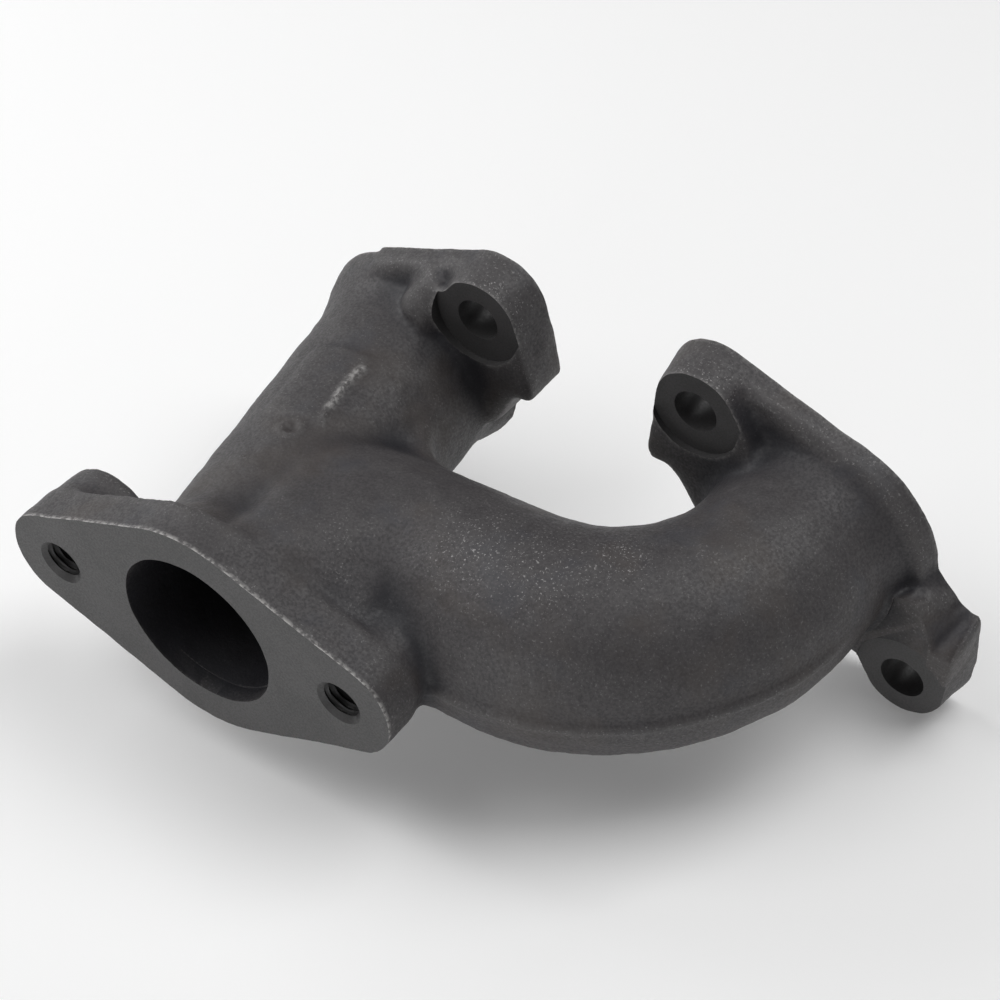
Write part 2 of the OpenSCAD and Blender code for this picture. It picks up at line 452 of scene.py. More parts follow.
# %% Fill the crotch
WEB_R = 14 * MM                         # radius of the free edge
WEB_CORNER = Vector((23.3 * MM, -37.0 * MM, 0))   # where the walls of the two tubes meet
WEB_ROOT = 8 * MM                       # how far it runs into each tube
WEB_HALF = 11 * MM                      # half its thickness


def crotch_web():
    x, y, _ = WEB_CORNER
    outline = [(x - WEB_ROOT, y + WEB_R)]
    for a in np.linspace(math.pi, 1.5 * math.pi, 13):
        outline.append((x + WEB_R + WEB_R * math.cos(a), y + WEB_R + WEB_R * math.sin(a)))
    outline += [(x + WEB_R, y - WEB_ROOT), (x - WEB_ROOT, y - WEB_ROOT)]
    web = plate(outline, WEB_HALF, -WEB_HALF)
    for vertex in web.data.vertices:
        vertex.co = (vertex.co.x, vertex.co.z, vertex.co.y)
    face_outwards(web)
    return web


web = crotch_web()
print("web box", points(web).min(0) / MM, points(web).max(0) / MM)

# %% [markdown]
# ## One skin
# The parts are joined and remeshed into one skin of small squares, as the wood is painted into one
# surface. Booleans could unite them as well, but they leave long thin faces that can't be smoothed.
# Smoothing then does the work of the wax: a little everywhere, more at the roots and rims. Each round
# of it has a weight for every point, so it fades out instead of stopping at a line.

# %% Remesh the pattern
VOXEL = 0.75 * MM
casting = join([runner, branch, web] + head_parts + pipe_parts, "casting")
apply(casting, "REMESH", mode="VOXEL", voxel_size=VOXEL)
print("skin", len(casting.data.vertices), "points")

# %% Weights for the wax
def smoothstep(value, low, high):
    """0 below low, 1 above high, and an easy slope between."""
    t = np.clip((value - low) / (high - low), 0, 1)
    return t * t * (3 - 2 * t)


def relax(obj, name, weights, passes):
    """Smooths a mesh, each point by its own weight."""
    group = obj.vertex_groups.new(name=name)
    for index in np.flatnonzero(weights > 0.01):
        group.add([int(index)], float(weights[index]), "REPLACE")
    apply(obj, "SMOOTH", factor=0.5, iterations=passes, vertex_group=name)
    obj.vertex_groups.remove(obj.vertex_groups[name])


def near(co, x, y, z, inner, outer):
    """1 within inner of a point and 0 beyond outer, in millimetres."""
    distance = np.linalg.norm(co - np.array((x, y, z)), axis=1)
    return 1 - smoothstep(distance, inner, outer)


# %% Smooth it, most where two shapes meet
# Places and reaches are in millimetres
co = points(casting) / MM
everywhere = np.ones(len(co))
head_side = smoothstep(co[:, 1], -19, -13)
crotch = near(co, 32, -31, 0, 12, 26)
junction = near(co, 22, -62, 20, 16, 34) + near(co, 22, -62, -20, 16, 34)
junction += near(co, 44, -78, 12, 10, 24) + near(co, 44, -78, -12, 10, 24)
bosses = smoothstep(co[:, 1], -90, -85) * (1 - smoothstep(co[:, 1], -74, -68))
relax(casting, "skin", everywhere, 5)
corners = sum(
    near(co, (port.x + flip * side) / MM, -5, turn * corner_z / MM, 3, 9)
    for port, side, flip, turn, *_ in EARS)
roots = np.zeros(len(co))
for port in (front_port, rear_port):
    out = np.hypot(co[:, 0] - port.x / MM, co[:, 2])
    ring = smoothstep(out, 17, 20) * (1 - smoothstep(out, 27, 33))
    roots = np.maximum(roots, ring * smoothstep(co[:, 1], -24, -17) * (1 - smoothstep(co[:, 1], -6, -3)))
crest = near(co, rear_port.x / MM + 27, -11, -6, 8, 14)
relax(casting, "head", head_side * (1 - 0.8 * np.clip(corners, 0, 1)) * (1 - 0.9 * crest), 14)
relax(casting, "roots", roots * (1 - crest), 45)
relax(casting, "gusset", near(co, 13, -9, 31, 5, 10), 40)
relax(casting, "crotch", crotch, 90)
relax(casting, "junction", np.clip(junction, 0, 1) * smoothstep(co[:, 1], -85.5, -82), 130)
relax(casting, "bosses", bosses, 14)
print("smoothed", len(co), "points")

# %% [markdown]
# ## The mould shift
# A sand mould has two halves, and they never close exactly. Here the lower half sat a little further
# out, so a ledge with a thin bead of flash runs round the outside of the bend. It could be a separate
# rib, but it has no foot on the real thing, so the points themselves are pushed out.

# %% Shift the mould
LEDGE = 0.8 * MM                        # how far out the ledge stands, and how far below the middle
BEAD_H = 0.35 * MM
BEAD_W = 0.7 * MM


def mould_shift(obj):
    """Pushes out the lower half of the bend's outside."""
    for vertex in obj.data.vertices:
        co = vertex.co
        if co.z > 2 * MM or co.x < 30 * MM or co.y > -10 * MM or co.z < -22 * MM:
            continue
        middle, along = centre_line(co)
        out = co - middle
        turn = (along - 1) * math.pi / 2
        outer = out.x * math.sin(turn) - out.y * math.cos(turn)
        fade = smoothstep(along, 0.72, 1.0) * (1 - smoothstep(along, 1.8, 1.97))
        below = smoothstep(-co.z, LEDGE - 0.7 * MM, LEDGE + 0.3 * MM)
        below *= 1 - smoothstep(-co.z, 12 * MM, 22 * MM)
        bead = BEAD_H * math.exp(-((-co.z - LEDGE - MM) / BEAD_W) ** 2)
        if outer > 8 * MM:
            vertex.co += out.normalized() * float((LEDGE * below + bead) * fade)


mould_shift(casting)
print("ledge round the bend,", LEDGE / MM, "mm")

# %% [markdown]
# ## Marks on the runner
# A low pad on top of the front runner is where a foundry puts its marks. It is left blank here. Beside
# it are a ragged scar, where the skin tore, and a small pit with a raised rim. All are lower than a
# millimetre, so they are one height for each point of the skin, pushed straight out from the tube.

# %% Raise the pad, the scar and the pit
# Lengths are in millimetres
PAD_ALONG = (28, 50)                    # along the runner from the port
PAD_TURN = (-25, 13)                    # round the runner from its top, in degrees toward +X
PAD_HEIGHT = 0.4
SCAR = [(8.6, -31), (8.3, -36), (9.2, -40), (9.6, -44), (11.2, -49)]   # X and Y along its middle
SCAR_HEIGHT = 0.9
SCAR_WIDTH = 0.8
PIT = (6.4, -53.0)
PIT_DEPTH, PIT_WIDTH = 0.8, 1.4
RIM_HEIGHT, RIM_R, RIM_WIDTH = 0.4, 2.2, 0.7


def window(value, low, high, soft):
    """1 from low to high and 0 outside, with soft ends."""
    return smoothstep(value, low - soft, low + soft) * (1 - smoothstep(value, high - soft, high + soft))


def distance_to_line(flat, line):
    """How far points in a plane are from a bent line."""
    nearest = np.full(len(flat), np.inf)
    for start, end in zip(line[:-1], line[1:]):
        start, end = np.array(start), np.array(end)
        t = np.clip((flat - start) @ (end - start) / ((end - start) @ (end - start)), 0, 1)
        off = flat - start - t[:, None] * (end - start)
        nearest = np.minimum(nearest, np.linalg.norm(off, axis=1))
    return nearest


def ragged(co, scale):
    """A steady noise from 0 to 1 for each point."""
    return np.array([0.5 + 0.5 * noise.noise(Vector(p) * scale) for p in co])


def mark_runner(obj):
    co = points(obj) / MM
    axis = np.array(outlet) / outlet.length
    along = co @ axis
    out = co - along[:, None] * axis
    side = np.cross(axis, (0, 0, 1))
    side *= np.sign(side[0])
    turn = np.degrees(np.arctan2(out @ side, out[:, 2]))
    upper = (co[:, 2] > 12) & (along < 60)
    height = PAD_HEIGHT * window(along, *PAD_ALONG, 1.2) * window(turn, *PAD_TURN, 3.0)
    near_scar = np.flatnonzero(upper & (distance_to_line(co[:, :2], SCAR) < 3))
    ridge = np.exp(-(distance_to_line(co[near_scar, :2], SCAR) / SCAR_WIDTH) ** 2)
    height[near_scar] += SCAR_HEIGHT * ridge * ragged(co[near_scar], 0.7)
    pit = np.linalg.norm(co[:, :2] - PIT, axis=1)
    rim = RIM_HEIGHT * np.exp(-((pit - RIM_R) / RIM_WIDTH) ** 2)
    height += rim - PIT_DEPTH * np.exp(-(pit / PIT_WIDTH) ** 2)
    out /= np.linalg.norm(out, axis=1)[:, None]
    co += out * (height * upper)[:, None]
    obj.data.vertices.foreach_set("co", (co * MM).ravel())


mark_runner(casting)
box = points(casting) / MM
print("marked; box now", box.min(0).round(1), box.max(0).round(1))

# %% [markdown]
# ## Lumps
# Sand is packed by hand, so a cast wall is never quite even. A Displace modifier with a clouds texture
# raises and lowers the skin by about a tenth of a millimetre. It is real shape, so it also bends the
# outline. The grain itself is far too fine for the mesh and is left to the material.

# %% Lumps in the wall
def lumps(obj, name, scale, height):
    clouds = bpy.data.textures.new(name, "CLOUDS")
    clouds.noise_scale = scale
    clouds.noise_depth = 3
    apply(obj, "DISPLACE", texture=clouds, strength=height, mid_level=0.5, texture_coords="LOCAL")


lumps(casting, "wall_lumps", 9 * MM, 0.7 * MM)
lumps(casting, "sand_lumps", 2.5 * MM, 0.22 * MM)
print("lumps raised on", len(casting.data.vertices), "points")

# %% [markdown]
# ## The sand core
# The passage is formed by a core of baked sand that the iron flows round. It is one shape, so the
# straight and the bent bore melt into each other where they meet. It is made the same way as the skin,
# and then taken out of the casting with a Boolean.

# %% Shape the core
CORE_R = 17 * MM
BRANCH_CORE_R = 18 * MM
FLARE = (0.62, 1.06)                    # where the core widens, as shares of the way to the outlet
core = join([
    rod(Vector((0, 2 * STOCK, 0)), outlet * ((outlet.y - 2 * STOCK) / outlet.y), CORE_R),
    rod(outlet * FLARE[0], outlet * FLARE[1], CORE_R * 0.98, outlet_r + 0.5 * MM),
    bent_bar(BRANCH_CORE_R, outlet.x, 2 * STOCK)], "core")
apply(core, "REMESH", mode="VOXEL", voxel_size=1.2 * MM)
relax(core, "skin", np.ones(len(core.data.vertices)), 6)
lumps(core, "core_lumps", 7 * MM, 0.5 * MM)
print("core", len(core.data.vertices), "points")

# %% [markdown]
# ## Machining
# Each cutter is a closed solid of exact size, and a Boolean takes it away, so every machined edge is
# crisp where it meets the rough skin. The Manifold solver is quick and exact on closed meshes.

# %% Cut the core and mill the faces
def machine(*cutters):
    for cutter in cutters:
        apply(casting, "BOOLEAN", operation="DIFFERENCE", solver="MANIFOLD", object=cutter)
        bpy.data.objects.remove(cutter)


REACH = 60 * MM                         # how far a milling block runs past what it cuts
machine(core)
machine(
    block(Vector((-REACH, 0, -REACH)), Vector((rear_port.x + REACH, REACH, REACH))),
    block(Vector((-REACH, outlet.y - REACH, -REACH)), Vector((2 * REACH, outlet.y, REACH))))
print("faces milled:", len(casting.data.polygons), "faces")

# %% Bore the ports and the outlet
CLEAR = 1 * MM                          # how far a cutter starts outside the iron
PORT_DEPTH = 6 * MM
OUTLET_DEPTH = 4 * MM
BORE_SIDES = 128
toward_head = Vector((0, 1, 0))

for port in (front_port, rear_port):
    machine(rod(
        port + toward_head * CLEAR, port - toward_head * PORT_DEPTH, port_r, sides=BORE_SIDES))
machine(rod(
    outlet - toward_head * CLEAR, outlet + toward_head * OUTLET_DEPTH, outlet_r, sides=BORE_SIDES))
print("three bores;", len(casting.data.polygons), "faces")

# %% Spot face and drill the ears
SPOT_R = 11 * MM
SPOT_Y = ear_y + 1 * MM                 # where the spot faces lie
SPOT_CUTTER = 12 * MM                   # length of the cutter, which also clears the runner's root
bolts = [Vector((port.x + turn * flip * bolt.x, 0, flip * bolt.z))
         for port, turn in ((front_port, 1), (rear_port, -1)) for flip in (1, -1)]

# The rear lower ear's front is flat right up to the neck, with a crest where it ends. Its outline is
# an arc round the neck and four corners, in millimetres from the port.
front_of_ear = arc(rear_port.x, 0, 23.2 * MM, -3, -62, 16) + [
    (rear_port.x + x * MM, z * MM) for x, z in ((11, -40), (31, -40), (31.6, -12), (29.5, -2))]
machine(plate(front_of_ear, SPOT_Y - 0.3 * MM, SPOT_Y - 7 * MM))

for spot in bolts:
    machine(
        rod(spot + toward_head * SPOT_Y, spot + toward_head * (SPOT_Y - SPOT_CUTTER), SPOT_R),
        rod(spot + toward_head * CLEAR, spot + toward_head * (SPOT_Y - CLEAR), hole_r, sides=64))
print("drilled", len(bolts), "bolt holes")

# %% [markdown]
# ## Tapped holes
# A thread is a groove that climbs once round the hole for every pitch. The cutter starts as a circle,
# extruded in many small steps, and each point is pushed out or in by how far it is from the crest.
# The Screw modifier makes a thread too, but leaves it open at both ends, and a Boolean needs it closed.

# %% Cut the threads
PITCH = 1.5 * MM
THREAD_H = 0.75 * MM                    # how deep the groove is
THREAD_L = 13 * MM
THREAD_SIDES = 48
THREAD_STEPS = 52
SINK_R = 5.6 * MM                       # countersink at the face


def tap(middle):
    """A tap with its full thread, ending in a drill's point."""
    let_go()
    bpy.ops.mesh.primitive_circle_add(
        vertices=THREAD_SIDES, radius=stud_r, location=middle - toward_head * CLEAR,
        rotation=(math.pi / 2, 0, 0), fill_type="NGON")
    obj = settle(bpy.context.object)
    bpy.ops.object.mode_set(mode="EDIT")
    bpy.ops.mesh.select_all(action="SELECT")
    for _ in range(THREAD_STEPS):
        bpy.ops.mesh.extrude_region_move(
            TRANSFORM_OT_translate={"value": (0, (THREAD_L + CLEAR) / THREAD_STEPS, 0)})
    bpy.ops.transform.translate(value=(0, stud_r * 0.6, 0))
    bpy.ops.transform.resize(value=(0.02, 1, 0.02), center_override=middle + toward_head * THREAD_L)
    bpy.ops.object.mode_set(mode="OBJECT")
    face_outwards(obj)
    for vertex in obj.data.vertices:
        out = Vector((vertex.co.x - middle.x, 0, vertex.co.z - middle.z))
        deep = vertex.co.y - middle.y
        if out.length > stud_r / 2 and deep < THREAD_L - PITCH:
            turn = math.atan2(out.z, out.x) / math.tau
            phase = (deep / PITCH - turn) % 1
            vertex.co += out.normalized() * THREAD_H * (1 - abs(2 * phase - 1))
    return obj


for side in (-1, 1):
    middle = Vector((outlet.x + side * stud_half, outlet.y, 0))
    sink = rod(
        middle - toward_head * CLEAR, middle + toward_head * (SINK_R - stud_r),
        SINK_R + CLEAR, stud_r, sides=64)
    machine(tap(middle), sink)
print("two M10 holes tapped;", len(casting.data.polygons), "faces")
print("box", (points(casting).min(0) / MM).round(2), (points(casting).max(0) / MM).round(2))

# %% [markdown]
# ## Where the iron is worn, and where highlights, glints and shade are painted
# Handling wears the machined edges and whatever stands proud, and a painted highlight brightens them too.
# Painted glints fleck the grain in a few spots. Painted shade darkens the hollows, and the holes and gas
# passages are black with painted shade and soot. All this follows the shape, so it is measured on the mesh
# and stored as attributes that the materials read. A shader could guess some of it from pointiness, but
# only in one renderer. What differs between the two sides of a sharp edge is stored for each face corner.

# %% Find the machined faces
TAP_END = THREAD_L + 4 * MM             # no tapped hole is deeper than this, point and all


def face_arrays(mesh):
    normals = np.empty(len(mesh.polygons) * 3)
    centres = np.empty(len(mesh.polygons) * 3)
    mesh.polygons.foreach_get("normal", normals)
    mesh.polygons.foreach_get("center", centres)
    return normals.reshape(-1, 3), centres.reshape(-1, 3)


def machined_faces(mesh):
    """True for each face that a cutter left: milled and spot faces, drilled and tapped walls."""
    normals, centres = face_arrays(mesh)
    small = 0.02 * MM
    flat = np.abs(normals[:, 1]) > 0.9995
    level = np.zeros(len(centres), bool)
    for y in (0, SPOT_Y, outlet.y):
        level |= np.abs(centres[:, 1] - y) < small
    found = flat & level
    for hole in bolts:
        out = np.hypot(centres[:, 0] - hole.x, centres[:, 2] - hole.z)
        step = (out > SPOT_R - 0.3 * MM) & (out < SPOT_R + small)
        step &= (centres[:, 1] > SPOT_Y - 8 * MM) & (np.abs(normals[:, 1]) < 0.01)
        found |= step | ((out < hole_r + small) & (centres[:, 1] > SPOT_Y - small))
    for side in (-1, 1):
        out = np.hypot(centres[:, 0] - outlet.x - side * stud_half, centres[:, 2])
        found |= (out < SINK_R + CLEAR) & (centres[:, 1] < outlet.y + TAP_END)
    return found


mesh = casting.data
# Modelling leaves an empty material slot behind. It goes, or the finishes would be one place off.
mesh.materials.clear()
machined = machined_faces(mesh)
mesh.polygons.foreach_set("material_index", machined.astype(np.int32))
print(machined.sum(), "machined faces of", len(machined))

# %% Wear and painted highlight along the machined edges
EDGE_MARK_REACH = 0.5 * MM
HEAD_EDGE_SHARE = 0.25                        # share of wear on the head flanges' upper edges
corner_vertex = np.empty(len(mesh.loops), np.int64)
mesh.loops.foreach_get("vertex_index", corner_vertex)
face_size = np.empty(len(mesh.polygons), np.int64)
mesh.polygons.foreach_get("loop_total", face_size)
corner_face = np.repeat(np.arange(len(face_size)), face_size)


def store(name, domain, values):
    """Keeps one number for each POINT or each CORNER."""
    mesh.attributes.new(name, "FLOAT", domain).data.foreach_set("value", values.astype(np.float32))


touches = np.zeros((2, len(mesh.vertices)), bool)
touches[0, corner_vertex[machined[corner_face]]] = True
touches[1, corner_vertex[~machined[corner_face]]] = True
edge_points = np.flatnonzero(touches[0] & touches[1])
where = points(casting)
tree = KDTree(len(edge_points))
for index in edge_points:
    tree.insert(where[index], int(index))
tree.balance()
distance = np.array([tree.find(p)[2] for p in where])
# Bare metal worn along the machined edges, with a painted highlight there too. The head flanges keep a
# share of it on their upper edges only, the rim of the outlet bore gets none, and the scar gets some.
edge_wear_and_highlight = np.exp(-(distance / EDGE_MARK_REACH) ** 2)
on_head = where[:, 1] > flange_y
edge_wear_and_highlight[on_head] *= HEAD_EDGE_SHARE
edge_wear_and_highlight[on_head & (where[:, 2] < 0)] = 0
edge_wear_and_highlight[np.hypot(where[:, 0] - outlet.x, where[:, 2]) < outlet_r + 2 * MM] = 0
scarred = 0.7 * (where[:, 2] > 12 * MM) * np.exp(
    -(distance_to_line(where[:, :2] / MM, SCAR[:4]) / 0.7) ** 2)
store("edge_wear_and_highlight", "CORNER", np.maximum(edge_wear_and_highlight, scarred)[corner_vertex] * ~machined[corner_face])
print(len(edge_points), "points on machined edges")


# %% Painted shade and soot in the holes and passages
BLACK_DEPTH = 6 * MM                       # depth at which a hole is black
CORE_REACH = 0.9 * MM                   # allowance for the lumps on the branch's core


def shade_and_soot(mesh):
    """How black each face corner is, from painted shade and soot: 0 in the open, 1 deep in a hole or a gas
    passage.
    """
    normals, centres = face_arrays(mesh)
    deep = np.zeros(len(where))
    wall = np.abs(normals[:, 1]) < 0.5
    inside = np.zeros(len(centres), bool)
    for hole in bolts:
        inside |= wall & (np.hypot(centres[:, 0] - hole.x, centres[:, 2] - hole.z) < hole_r + 0.1 * MM)
        near_hole = np.hypot(where[:, 0] - hole.x, where[:, 2] - hole.z) < hole_r + 0.2 * MM
        deep[near_hole] = np.clip((where[near_hole, 1] - SPOT_Y) / BLACK_DEPTH, 0, 1)
    for side in (-1, 1):
        offset = outlet.x + side * stud_half
        in_hole = (centres[:, 1] > outlet.y + MM) & (centres[:, 1] < outlet.y + TAP_END)
        inside |= in_hole & (np.hypot(centres[:, 0] - offset, centres[:, 2]) < SINK_R)
        near_hole = np.hypot(where[:, 0] - offset, where[:, 2]) < SINK_R
        deep[near_hole] = np.clip((where[near_hole, 1] - outlet.y - 1.5 * MM) / BLACK_DEPTH, 0, 1)
    along = np.clip(centres[:, 1] / outlet.y, 0, 1)
    from_axis = np.hypot(centres[:, 0] - along * outlet.x, centres[:, 2])
    bend = np.array([(Vector(c) - centre_line(Vector(c))[0]).length for c in centres])
    in_branch = (bend < BRANCH_CORE_R + CORE_REACH) & (centres[:, 0] > 5 * MM)
    gas = (from_axis < outlet_r + 0.45 * MM) | in_branch
    gas &= (centres[:, 1] > outlet.y + 0.1 * MM) & (centres[:, 1] < -0.1 * MM)
    gas &= ~inside
    reach = smoothstep(np.minimum(where[:, 1] - outlet.y, -where[:, 1] * 3) / MM, 3, 26)
    in_holes = np.where(inside[corner_face], deep[corner_vertex], 0)
    return np.where(gas[corner_face], reach[corner_vertex], in_holes)


black = shade_and_soot(mesh)
store("shade_and_soot", "CORNER", black)
print("sooty corners", int((black > 0.5).sum()), "of", len(black))

# %% Spots of painted glints on the grain, which handling also wears bright
GLINT_SPOTS = (                              # a place and a reach, in millimetres
    (29, -11, 37, 5), (35, -10, 32, 4), (78, -11, 36, 4), (85, -9, 36, 5), (62, -62, 22, 9),
    (76, -60, 23, 10), (88, -50, 24, 7), (36, -74, 20, 3), (39, -79, 17, 3), (44, -84, 12, 3))
glints_and_rub = np.zeros(len(where))
for x, y, z, reach in GLINT_SPOTS:
    away = np.linalg.norm(where / MM - (x, y, z), axis=1)
    glints_and_rub = np.maximum(glints_and_rub, np.exp(-(away / reach) ** 2))
store("glints_and_rub", "POINT", glints_and_rub)
print("rubbed points", int((glints_and_rub > 0.5).sum()))


# %% What stands proud, and what lies hollow
def smoothed(mesh, co, passes):
    """The points of a mesh after many rounds of averaging with their neighbours."""
    ends = np.empty(len(mesh.edges) * 2, np.int64)
    mesh.edges.foreach_get("vertices", ends)
    a, b = ends.reshape(-1, 2).T
    count = np.bincount(a, minlength=len(co)) + np.bincount(b, minlength=len(co))
    for _ in range(passes):
        total = [np.bincount(a, co[b, i], len(co)) + np.bincount(b, co[a, i], len(co)) for i in range(3)]
        co = np.stack(total, axis=1) / count[:, None]
    return co


PROUD = 0.30 * MM                       # this far above the fine copy is fully proud
FULL_SHADE_DEPTH = 1.3 * MM                       # and this far below the broad copy is fully hollow
outward = np.empty(len(mesh.vertices) * 3)
mesh.vertices.foreach_get("normal", outward)
outward = outward.reshape(-1, 3)
fine_copy = smoothed(mesh, where, 24)
broad_copy = smoothed(mesh, fine_copy, 130)
proud = np.clip(((where - fine_copy) * outward).sum(axis=1) / PROUD, 0, 1)
# Painted shade: the deeper a point lies in a hollow, the more shade is painted on it.
hollow = np.clip(((broad_copy - where) * outward).sum(axis=1) / FULL_SHADE_DEPTH, 0, 1)
store("proud", "POINT", proud)
store("hollow", "POINT", hollow)
print("proud points", int((proud > 0.5).sum()), "hollow points", int((hollow > 0.5).sum()))

# %% [markdown]
# ## Smooth shading with sharp machined edges
# The cast skin is shaded smooth, and every edge above 38 degrees stays sharp. The corner normals that
# this gives are stored before the casting is divided, because a cut would bend them at its rim.

# %% Keep the shading
let_go(casting)
bpy.ops.object.shade_smooth_by_angle(angle=math.radians(38))
shading = np.empty(len(mesh.loops) * 3, np.float32)
mesh.corner_normals.foreach_get("vector", shading)
mesh.attributes.new("shading", "FLOAT_VECTOR", "CORNER").data.foreach_set("vector", shading)
print("kept", len(shading) // 3, "corner normals")

# %% [markdown]
# ## Named regions
# The design divides the one casting into regions with names, each its own closed solid. The finished
# skin is divided the same way: bisect copies of it and fill each cut. Each half keeps the shading it had
# as one skin, so the joins can't be seen.

# %% Divide the casting
def split(obj, point, normal, name):
    """Cuts obj in two. The part in front of the plane becomes a new object, the rest stays."""
    other = obj.copy()
    other.data = obj.data.copy()
    other.name = name
    bpy.context.scene.collection.objects.link(other)
    for piece, inner in ((obj, False), (other, True)):
        let_go(piece)
        bpy.ops.object.mode_set(mode="EDIT")
        bpy.ops.mesh.select_all(action="SELECT")
        bpy.ops.mesh.bisect(
            plane_co=point, plane_no=normal, use_fill=True, clear_inner=inner, clear_outer=not inner)
        bpy.ops.object.mode_set(mode="OBJECT")
    return other


HEAD_SPLIT = -13 * MM                   # Y between the head flanges and the tubes
MID_X = rear_port.x / 2
JUNCTION_X = branch_low.x
JUNCTION_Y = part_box("collector")[1].y
LUG_Y = -83 * MM                        # Y between the branch and the right lug
EAR_OUT = 25.5 * MM                     # from a port's centre to where its ears begin
LEFT_LUG = Vector((-11.6 * MM, -80 * MM, 0))   # a point on the left lug's cut, and how the cut leans
LEFT_LUG_LEAN = (-1, -0.155, 0)
FLANGE_CUT = flange_y - 1.3 * MM        # inside the flange, clear of its rounded back edge

head = split(casting, (0, HEAD_SPLIT, 0), (0, 1, 0), "head")
rear_pad = split(head, (MID_X, 0, 0), (1, 0, 0), "rear_port_pad")
pieces = {"rear_port_pad": rear_pad, "front_port_pad": head}
for name, port, flip in (("front", front_port, 1), ("rear", rear_port, -1)):
    for level, turn in (("upper", 1), ("lower", -1)):
        away = Vector((flip * turn * bolt.x, 0, turn * bolt.z)).normalized()
        ear = f"{name}_{level}_ear"
        pieces[ear] = split(pieces[f"{name}_port_pad"], port + away * EAR_OUT, away, ear)
pieces["rear_elbow"] = split(casting, (bend_x, 0, 0), (1, 0, 0), "rear_elbow")
pieces["rear_neck"] = split(pieces["rear_elbow"], (0, neck_y, 0), (0, 1, 0), "rear_neck")
pieces["branch_runner"] = split(casting, (JUNCTION_X, 0, 0), (1, 0, 0), "branch_runner")
pieces["outlet_right_lug"] = split(pieces["branch_runner"], (0, LUG_Y, 0), (0, -1, 0), "outlet_right_lug")
pieces["front_runner"] = split(casting, (0, JUNCTION_Y, 0), (0, 1, 0), "front_runner")
pieces["outlet_left_lug"] = split(casting, LEFT_LUG, LEFT_LUG_LEAN, "outlet_left_lug")
pieces["outlet_flange"] = split(casting, (0, FLANGE_CUT, 0), (0, -1, 0), "outlet_flange")
pieces["collector"] = casting
for name, piece in pieces.items():
    print(name, len(piece.data.polygons), "faces")


# %% Give each piece back its shading
def restore_shading(obj):
    """Corners of the skin get their kept normal back. The flat fill of a cut stays flat."""
    mesh = obj.data
    kept = np.empty(len(mesh.loops) * 3, np.float32)
    mesh.attributes["shading"].data.foreach_get("vector", kept)
    kept = kept.reshape(-1, 3)
    length = np.linalg.norm(kept, axis=1)
    corners = np.empty(len(mesh.polygons), np.int64)
    mesh.polygons.foreach_get("loop_total", corners)
    normals, _ = face_arrays(mesh)
    flat = np.repeat(normals, corners, axis=0)
    agree = (kept * flat).sum(axis=1) > 0.2
    keep = (length > 0.5) & agree
    kept[keep] /= length[keep, None]
    kept[~keep] = flat[~keep]
    mesh.attributes.remove(mesh.attributes["shading"])
    mesh.normals_split_custom_set(kept.tolist())


for name, piece in pieces.items():
    face_outwards(piece)
    piece.name = name + "_cast"
    restore_shading(piece)
print("shading restored on", len(pieces), "pieces")

# %% [markdown]
# ## Cast iron
# A casting's skin is dark grey oxide over sand grain. It isn't even: it has soft brown and blue-grey
# clouds, a fine grain, and bright flecks, painted glints of light on the grain with some grain worn
# bright.
# Each is one noise on Object coordinates, at its real size in metres, so it holds still on the shape. Real
# bumps below half a millimetre are in the Bump node. The attributes say where it is worn and where
# highlights, glints and shade are painted. A noise's scale counts its clouds in a metre, so 1500 gives
# grains of about two thirds of a millimetre.

# %% A helper for node trees
def add(tree, kind, *links, **settings):
    """Adds one node, sets it up and connects its inputs by name."""
    made = tree.nodes.new("ShaderNode" + kind)
    for key, value in settings.items():
        setattr(made, key, value)
    for name, value in links:
        socket = made.inputs[name]
        if isinstance(value, bpy.types.NodeSocket):
            tree.links.new(value, socket)
        else:
            socket.default_value = value
    return made


def start_material(name):
    material = bpy.data.materials.new(name)
    material.use_nodes = True
    tree = material.node_tree
    coords = add(tree, "TexCoord").outputs["Object"]
    return material, tree, coords, tree.nodes["Principled BSDF"]


def grain(tree, coords, scale, detail=3.0, rough=0.55):
    return add(
        tree, "TexNoise", ("Vector", coords), ("Scale", scale), ("Detail", detail),
        ("Roughness", rough)).outputs["Fac"]


def between(tree, value, low, high, to_low=0.0, to_high=1.0):
    return add(
        tree, "MapRange", ("Value", value), ("From Min", low), ("From Max", high),
        ("To Min", to_low), ("To Max", to_high), interpolation_type="SMOOTHSTEP").outputs["Result"]


def times(tree, a, b):
    return add(tree, "Math", (0, a), (1, b), operation="MULTIPLY").outputs[0]


def blend(tree, factor, a, b):
    mixed = add(tree, "Mix", ("Factor", factor), data_type="RGBA")
    for socket, value in ((mixed.inputs[6], a), (mixed.inputs[7], b)):
        if isinstance(value, bpy.types.NodeSocket):
            tree.links.new(value, socket)
        else:
            socket.default_value = (*value, 1)
    return mixed.outputs[2]


def attribute(tree, name):
    return add(tree, "Attribute", attribute_name=name).outputs["Fac"]


# %% Cast skin
SKIN_DARK = (0.031, 0.028, 0.030)
SKIN_LIGHT = (0.050, 0.046, 0.048)
BROWN = (0.050, 0.041, 0.037)
BLUE_GREY = (0.035, 0.036, 0.044)
WORN_LIT_SKIN = (0.085, 0.081, 0.081)
HOLLOW_SHADE = (0.011, 0.011, 0.015)
SHADE_AND_SOOT_BLACK = (0.008, 0.007, 0.008)
GLINT_FLECK = (0.30, 0.29, 0.29)
BARE_AND_LIT = (0.42, 0.41, 0.40)


